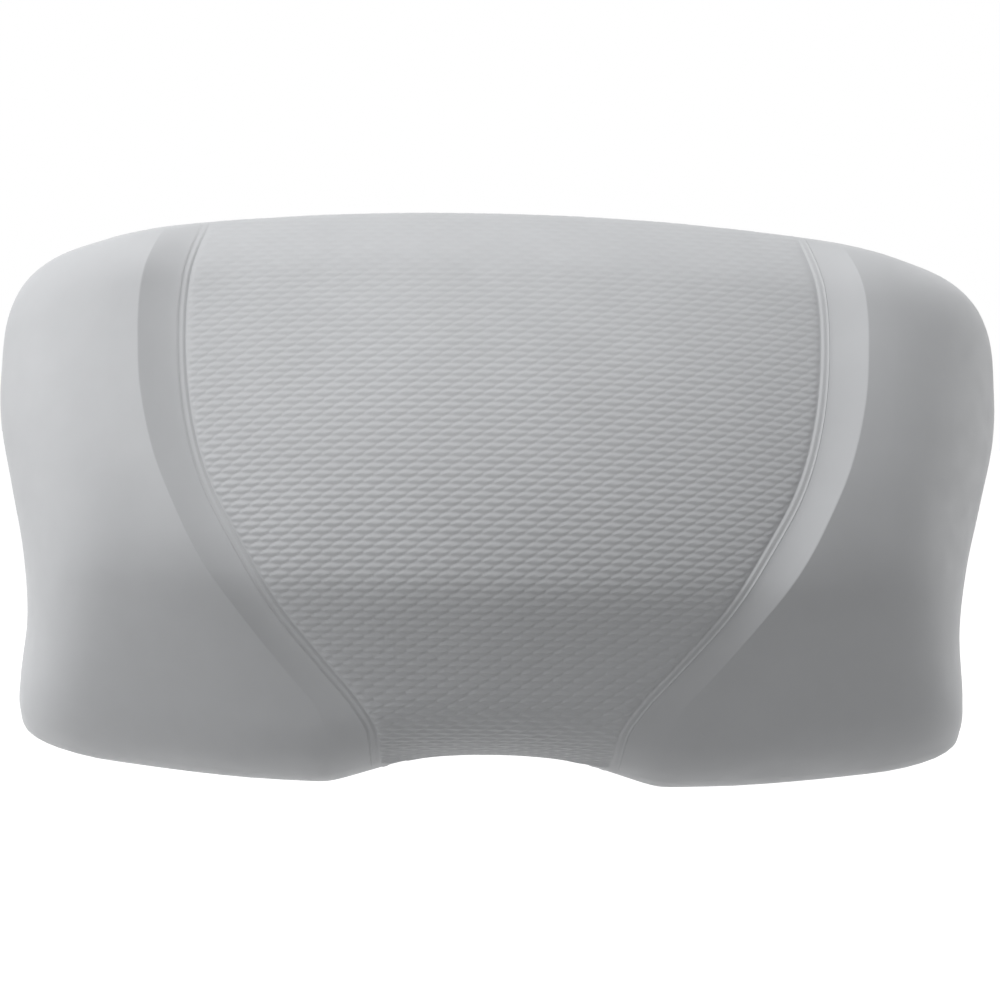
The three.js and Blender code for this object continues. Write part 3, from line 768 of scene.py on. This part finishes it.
def ranged(tree, value, low, high, from_low=0.3, from_high=0.7):
    node = tree.nodes.new("ShaderNodeMapRange")
    for socket, number in (
        ("From Min", from_low), ("From Max", from_high), ("To Min", low), ("To Max", high),
    ):
        node.inputs[socket].default_value = number
    tree.links.new(value, node.inputs["Value"])
    return node.outputs["Result"]


def shades(tree, value, stops):
    node = tree.nodes.new("ShaderNodeValToRGB")
    ramp = node.color_ramp
    while len(ramp.elements) < len(stops):
        ramp.elements.new(0.5)
    for element, (position, colour) in zip(ramp.elements, stops):
        element.position, element.color = position, (*colour, 1)
    tree.links.new(value, node.inputs["Fac"])
    return node.outputs["Color"]


def bump(tree, value, strength, distance, before=None):
    node = tree.nodes.new("ShaderNodeBump")
    node.inputs["Strength"].default_value = strength
    node.inputs["Distance"].default_value = distance
    tree.links.new(value, node.inputs["Height"])
    if before is not None:
        tree.links.new(before, node.inputs["Normal"])
    return node.outputs["Normal"]


def tone(colour, factor):
    return tuple(c * factor for c in colour)


def foam_skin(name, colour, rough, grain):
    """Satin skin of moulded foam: faint mottling, a fine grain and a soft sheen."""
    material, tree, shader, place = nodes_of(name)
    mottle = noise(tree, place, 45, 5)
    stops = [(0.3, tone(colour, 0.975)), (0.7, tone(colour, 1.02))]
    tree.links.new(shades(tree, mottle, stops), shader.inputs["Base Color"])
    roughness = ranged(tree, noise(tree, place, 160, 3), rough - 0.05, rough + 0.05)
    tree.links.new(roughness, shader.inputs["Roughness"])
    fine = bump(tree, noise(tree, place, 3200, 2), grain, 0.00006)
    broad = bump(tree, noise(tree, place, 260, 3), 0.12, 0.0002, fine)
    tree.links.new(broad, shader.inputs["Normal"])
    shader.inputs["IOR"].default_value = 1.45
    shader.inputs["Sheen Weight"].default_value = 0.05
    shader.inputs["Sheen Roughness"].default_value = 0.5
    return material


def open_foam():
    material, tree, shader, place = nodes_of("open_foam")
    cells = tree.nodes.new("ShaderNodeTexVoronoi")
    cells.inputs["Scale"].default_value = 900
    tree.links.new(place, cells.inputs["Vector"])
    # Painted shade: the colour darkens towards each cell's middle, where the same distance sinks
    # the bump into a pore
    stops = [(0.1, (0.2, 0.2, 0.205)), (0.6, (0.42, 0.42, 0.43))]
    tree.links.new(shades(tree, cells.outputs["Distance"], stops), shader.inputs["Base Color"])
    tree.links.new(
        bump(tree, cells.outputs["Distance"], 0.8, 0.0006), shader.inputs["Normal"]
    )
    shader.inputs["Roughness"].default_value = 0.95
    return material


def moulded_plastic(name, colour, rough, grain_scale=1400):
    material, tree, shader, place = nodes_of(name)
    stops = [(0.35, tone(colour, 0.96)), (0.65, colour)]
    tree.links.new(shades(tree, noise(tree, place, 60), stops), shader.inputs["Base Color"])
    roughness = ranged(tree, noise(tree, place, 220), rough - 0.06, rough + 0.06)
    tree.links.new(roughness, shader.inputs["Roughness"])
    tree.links.new(
        bump(tree, noise(tree, place, grain_scale, 3), 0.25, 0.0001), shader.inputs["Normal"]
    )
    return material


def clear_vinyl():
    material, tree, shader, place = nodes_of("clear_vinyl")
    stops = [(0.35, (0.72, 0.78, 0.8)), (0.65, (0.82, 0.87, 0.88))]
    tree.links.new(shades(tree, noise(tree, place, 80), stops), shader.inputs["Base Color"])
    roughness = ranged(tree, noise(tree, place, 300), 0.12, 0.22)
    tree.links.new(roughness, shader.inputs["Roughness"])
    tree.links.new(bump(tree, noise(tree, place, 500), 0.08, 0.0002), shader.inputs["Normal"])
    shader.inputs["Transmission Weight"].default_value = 0.75
    shader.inputs["IOR"].default_value = 1.5
    return material


def turned_steel():
    material, tree, shader, place = nodes_of("turned_steel")
    stops = [(0.35, (0.5, 0.5, 0.51)), (0.65, (0.66, 0.66, 0.67))]
    tree.links.new(shades(tree, noise(tree, place, 400), stops), shader.inputs["Base Color"])
    roughness = ranged(tree, noise(tree, place, 900), 0.22, 0.38)
    tree.links.new(roughness, shader.inputs["Roughness"])
    tree.links.new(bump(tree, noise(tree, place, 2500), 0.15, 0.00005), shader.inputs["Normal"])
    shader.inputs["Metallic"].default_value = 1
    return material


MATERIALS = {
    "textured_skin": foam_skin("textured_skin", (0.56, 0.57, 0.585), 0.5, 0.25),
    "smooth_skin": foam_skin("smooth_skin", (0.56, 0.57, 0.585), 0.47, 0.3),
    "foam": open_foam(),
    "plate": moulded_plastic("plate_plastic", (0.78, 0.78, 0.75), 0.42),
    "cup": clear_vinyl(),
    "stud": turned_steel(),
    "nut": moulded_plastic("nut_nylon", (0.86, 0.86, 0.83), 0.4, 2200),
}


def settle(piece, body, node, slot):
    piece.data.materials.clear()
    piece.data.materials.append(MATERIALS[slot])
    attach(piece, body)
    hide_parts(node)


settle(textured_panel(), "pillow", "centre_skin", "textured_skin")
settle(wing(-1), "pillow", "left_wing_skin", "smooth_skin")
settle(wing(1), "pillow", "right_wing_skin", "smooth_skin")
settle(back_cover(), "pillow", "back_skin", "smooth_skin")
settle(foam_body(), "pillow", "foam_core", "foam")
settle(mounting_plate(), "pillow", "mounting_plate", "plate")
for name, x, y in CUPS:
    body = f"{name}_cup"
    settle(suction_cup(f"{name}_cup_dish", x, y), body, f"{name}_suction_cup", "cup")
    settle(cup_stud(f"{name}_screw", x, y), body, f"{name}_cup_stud", "stud")
    settle(button_nut(f"{name}_nut", x, y), body, f"{name}_button_nut", "nut")


# Stage
FLOOR_SIZE, FLOOR_LEVEL, FLOOR_SHADE = 12.0, -0.2, 0.34
FLOOR_GLOW_NEAR, FLOOR_GLOW_REACH = 0.88, (0.4, 1.2)
WORLD_LEVEL = 0.2
CAMERA_PLACE, CAMERA_AIM = (-0.0153, -0.5496, 0.0271), (-0.0005, -0.033, 0.0012)
CAMERA_LENS, CAMERA_SENSOR, CAMERA_TURN = 65.12, 36.0, 1.3
LAMP_AIM = (0, -0.02, 0)
# Name, place, size and power of each lamp
SOFTBOXES = [
    ("top", (0, -0.15, 1.6), (1.2, 1.2), 9.7),
    ("top_left", (-0.7, -0.1, 1.4), (1.0, 1.0), 4.5),
    ("front_left", (-1.1, -0.9, 0.9), (1.0, 1.0), 8.9),
    ("left", (-1.6, 0.15, 0.15), (1.0, 1.0), 5.5),
    ("high_left", (-1.4, -0.1, 0.75), (1.0, 1.0), 3.6),
    ("back_right", (1.1, 0.7, 1.0), (1.0, 1.0), 1.8),
    ("right", (1.5, 0.4, 0.2), (1.0, 1.0), 5.2),
    ("below_left", (-0.12, -0.02, -0.19), (0.16, 0.3), 0.05),
    ("below_right", (0.12, -0.02, -0.19), (0.16, 0.3), 0.028),
]


def seen_straight(tree):
    """1 where the camera, a mirror-like face or clear plastic looks at the background."""
    path = tree.nodes.new("ShaderNodeLightPath")
    seen = path.outputs["Is Camera Ray"]
    for name in ("Is Glossy Ray", "Is Transmission Ray"):
        either = tree.nodes.new("ShaderNodeMath")
        either.operation = "MAXIMUM"
        tree.links.new(seen, either.inputs[0])
        tree.links.new(path.outputs[name], either.inputs[1])
        seen = either.outputs[0]
    return seen


def backdrop():
    mesh = bpy.data.meshes.new("floor")
    size, level = FLOOR_SIZE, FLOOR_LEVEL
    mesh.from_pydata(
        [(-size, -size, level), (size, -size, level), (size, size, level), (-size, size, level)],
        [], [(0, 1, 2, 3)],
    )
    floor = bpy.data.objects.new("floor", mesh)
    bpy.context.scene.collection.objects.link(floor)
    material, tree, _, place = nodes_of("pale_floor")
    reach = tree.nodes.new("ShaderNodeVectorMath")
    reach.operation = "LENGTH"
    tree.links.new(place, reach.inputs[0])
    glow = tree.nodes.new("ShaderNodeEmission")
    far = ranged(tree, reach.outputs["Value"], FLOOR_GLOW_NEAR, 1.0, *FLOOR_GLOW_REACH)
    tree.links.new(far, glow.inputs["Strength"])
    pale, plain = (tree.nodes.new("ShaderNodeBsdfDiffuse") for _ in range(2))
    for shade in (pale, plain):
        shade.inputs["Color"].default_value = (FLOOR_SHADE, FLOOR_SHADE, FLOOR_SHADE, 1)
    lit, mix = tree.nodes.new("ShaderNodeAddShader"), tree.nodes.new("ShaderNodeMixShader")
    tree.links.new(pale.outputs[0], lit.inputs[0])
    tree.links.new(glow.outputs[0], lit.inputs[1])
    tree.links.new(seen_straight(tree), mix.inputs[0])
    tree.links.new(plain.outputs[0], mix.inputs[1])
    tree.links.new(lit.outputs[0], mix.inputs[2])
    tree.links.new(mix.outputs[0], tree.nodes["Material Output"].inputs["Surface"])
    mesh.materials.append(material)


def surroundings(strength):
    world = bpy.data.worlds.new("studio")
    bpy.context.scene.world = world
    world.use_nodes = True
    tree = world.node_tree
    background = tree.nodes["Background"]
    background.inputs["Color"].default_value = (1, 1, 1, 1)
    level = ranged(tree, seen_straight(tree), strength, 1.0, 0, 1)
    tree.links.new(level, background.inputs["Strength"])


def softbox(name, place, size, power):
    lamp = bpy.data.lights.new(name, "AREA")
    lamp.shape, lamp.size, lamp.size_y, lamp.energy = "RECTANGLE", size[0], size[1], power
    holder = bpy.data.objects.new(name, lamp)
    holder.location = place
    aim = Vector(LAMP_AIM) - Vector(place)
    holder.rotation_mode = "QUATERNION"
    holder.rotation_quaternion = aim.to_track_quat("-Z", "Y")
    holder.visible_camera = False
    bpy.context.scene.collection.objects.link(holder)


def camera():
    data = bpy.data.cameras.new("camera")
    data.lens, data.sensor_width = CAMERA_LENS, CAMERA_SENSOR
    data.clip_start, data.clip_end = 0.01, 50
    holder = bpy.data.objects.new("camera", data)
    place, aim = Vector(CAMERA_PLACE), Vector(CAMERA_AIM)
    turn = (aim - place).to_track_quat("-Z", "Y").to_matrix().to_4x4()
    holder.matrix_world = (
        Matrix.Translation(place) @ turn @ Matrix.Rotation(math.radians(CAMERA_TURN), 4, "Z")
    )
    bpy.context.scene.collection.objects.link(holder)
    bpy.context.scene.camera = holder


backdrop()
surroundings(WORLD_LEVEL)
for name, place, size, power in SOFTBOXES:
    softbox(name, place, size, power)
camera()
bpy.context.scene.view_settings.view_transform = "Standard"
